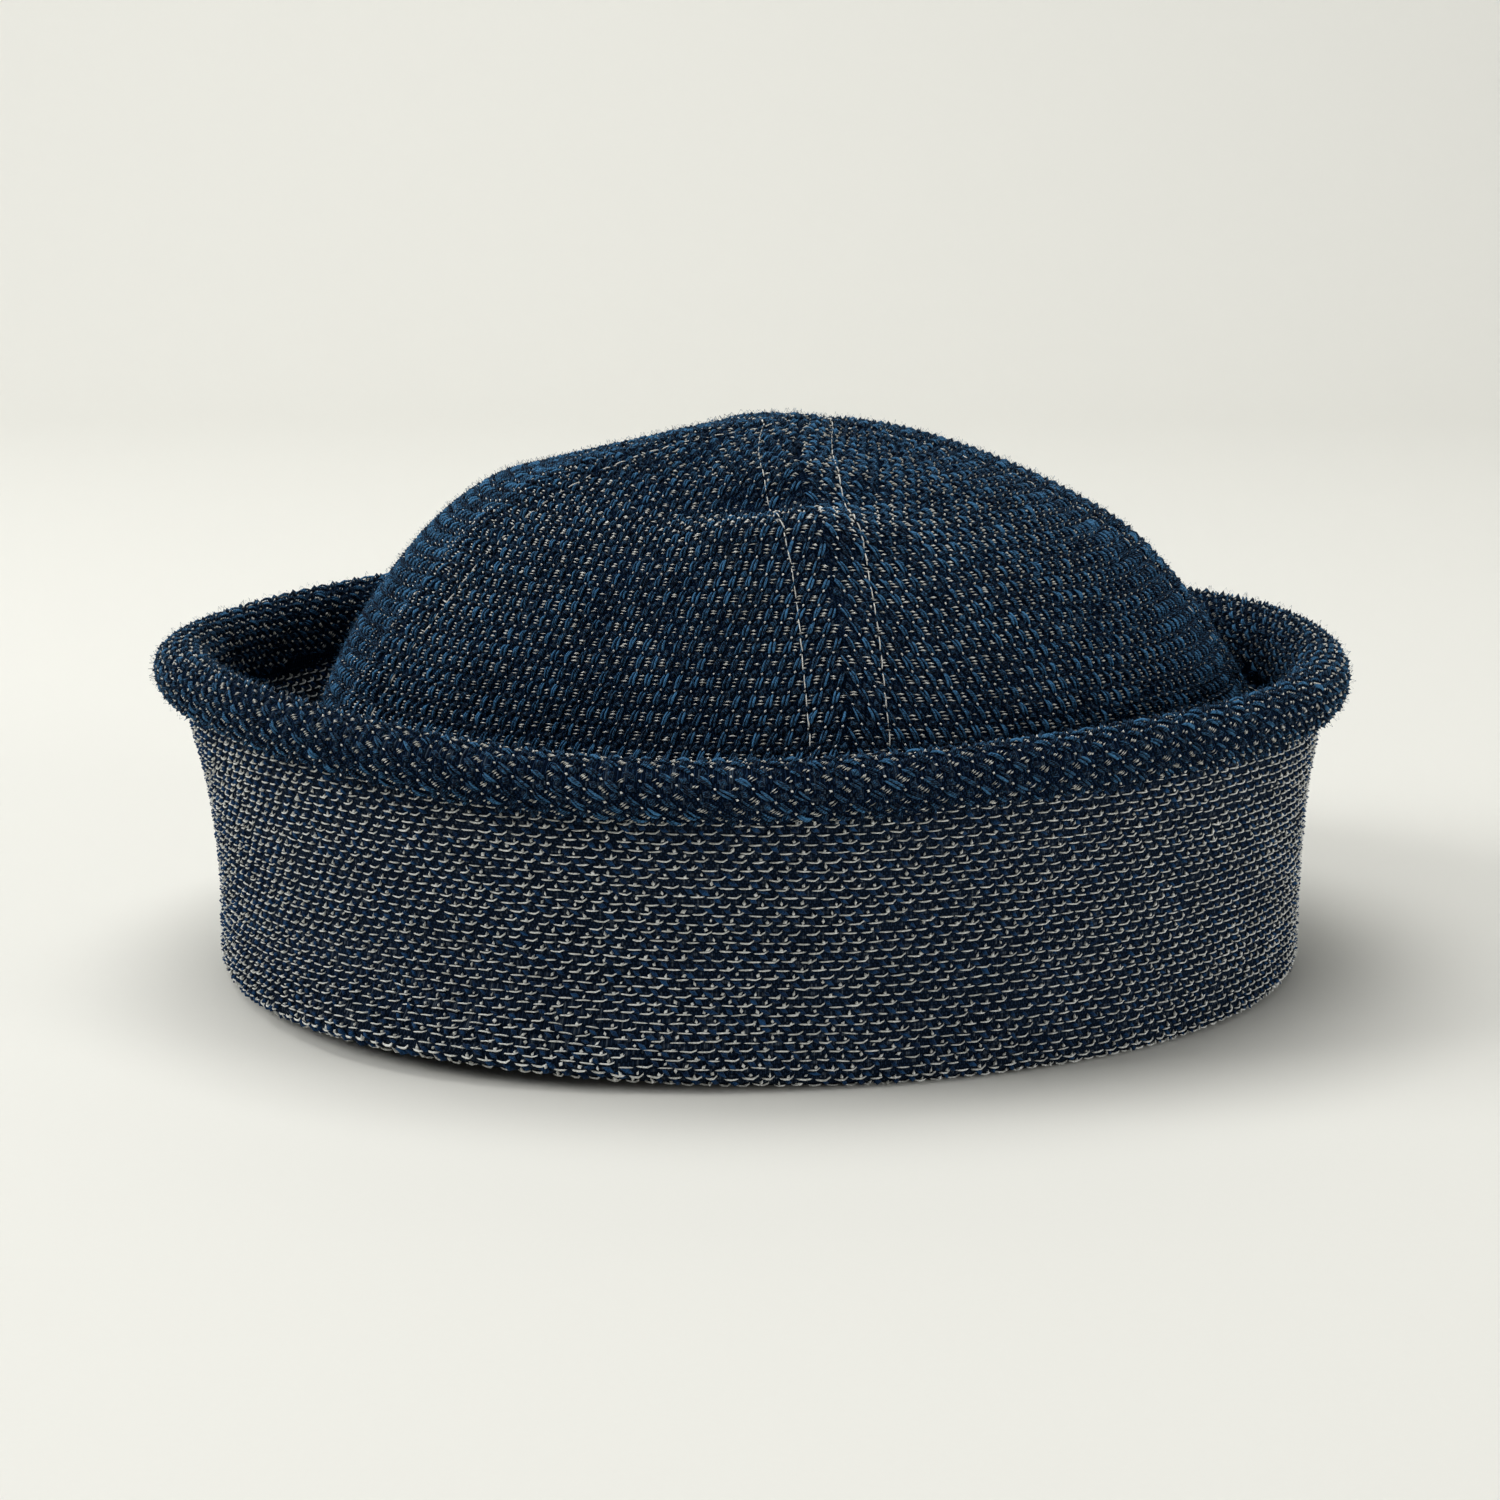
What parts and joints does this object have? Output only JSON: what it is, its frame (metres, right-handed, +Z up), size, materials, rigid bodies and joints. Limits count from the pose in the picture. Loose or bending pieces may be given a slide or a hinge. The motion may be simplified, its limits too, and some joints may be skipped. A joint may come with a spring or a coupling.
{
  "type": "sailor cap",
  "caption": "Soft sailor cap: a slack dome of sewn cloth panels inside a doubled brim turned up all round, with a fat rolled binding along its top edge.",
  "frame": {"origin": "on the resting surface, under the middle of the cap's box", "axes": "+Z up out of the crown; the front of the cap, as pictured, faces -Y; +X to the viewer's right"},
  "size_m": [0.2118, 0.209, 0.0949],
  "materials": {
    "face_cloth": "thick indigo cotton, face side: blue floats and short cream dashes on navy, matt and slightly fuzzy",
    "reverse_cloth": "the same cloth's reverse: rows of cream dashes on navy and blue, matt",
    "binding_cloth": "the face side cut on the bias, rolled and padded, matt"
  },
  "bodies": {
    "root": {"crown_panel_front_left": "face_cloth", "crown_panel_front_right": "face_cloth", "crown_panel_back_left": "face_cloth", "crown_panel_back_right": "face_cloth", "brim_outer": "reverse_cloth", "brim_inner": "reverse_cloth", "rim_binding": "binding_cloth"}
  },
  "joints": []
}
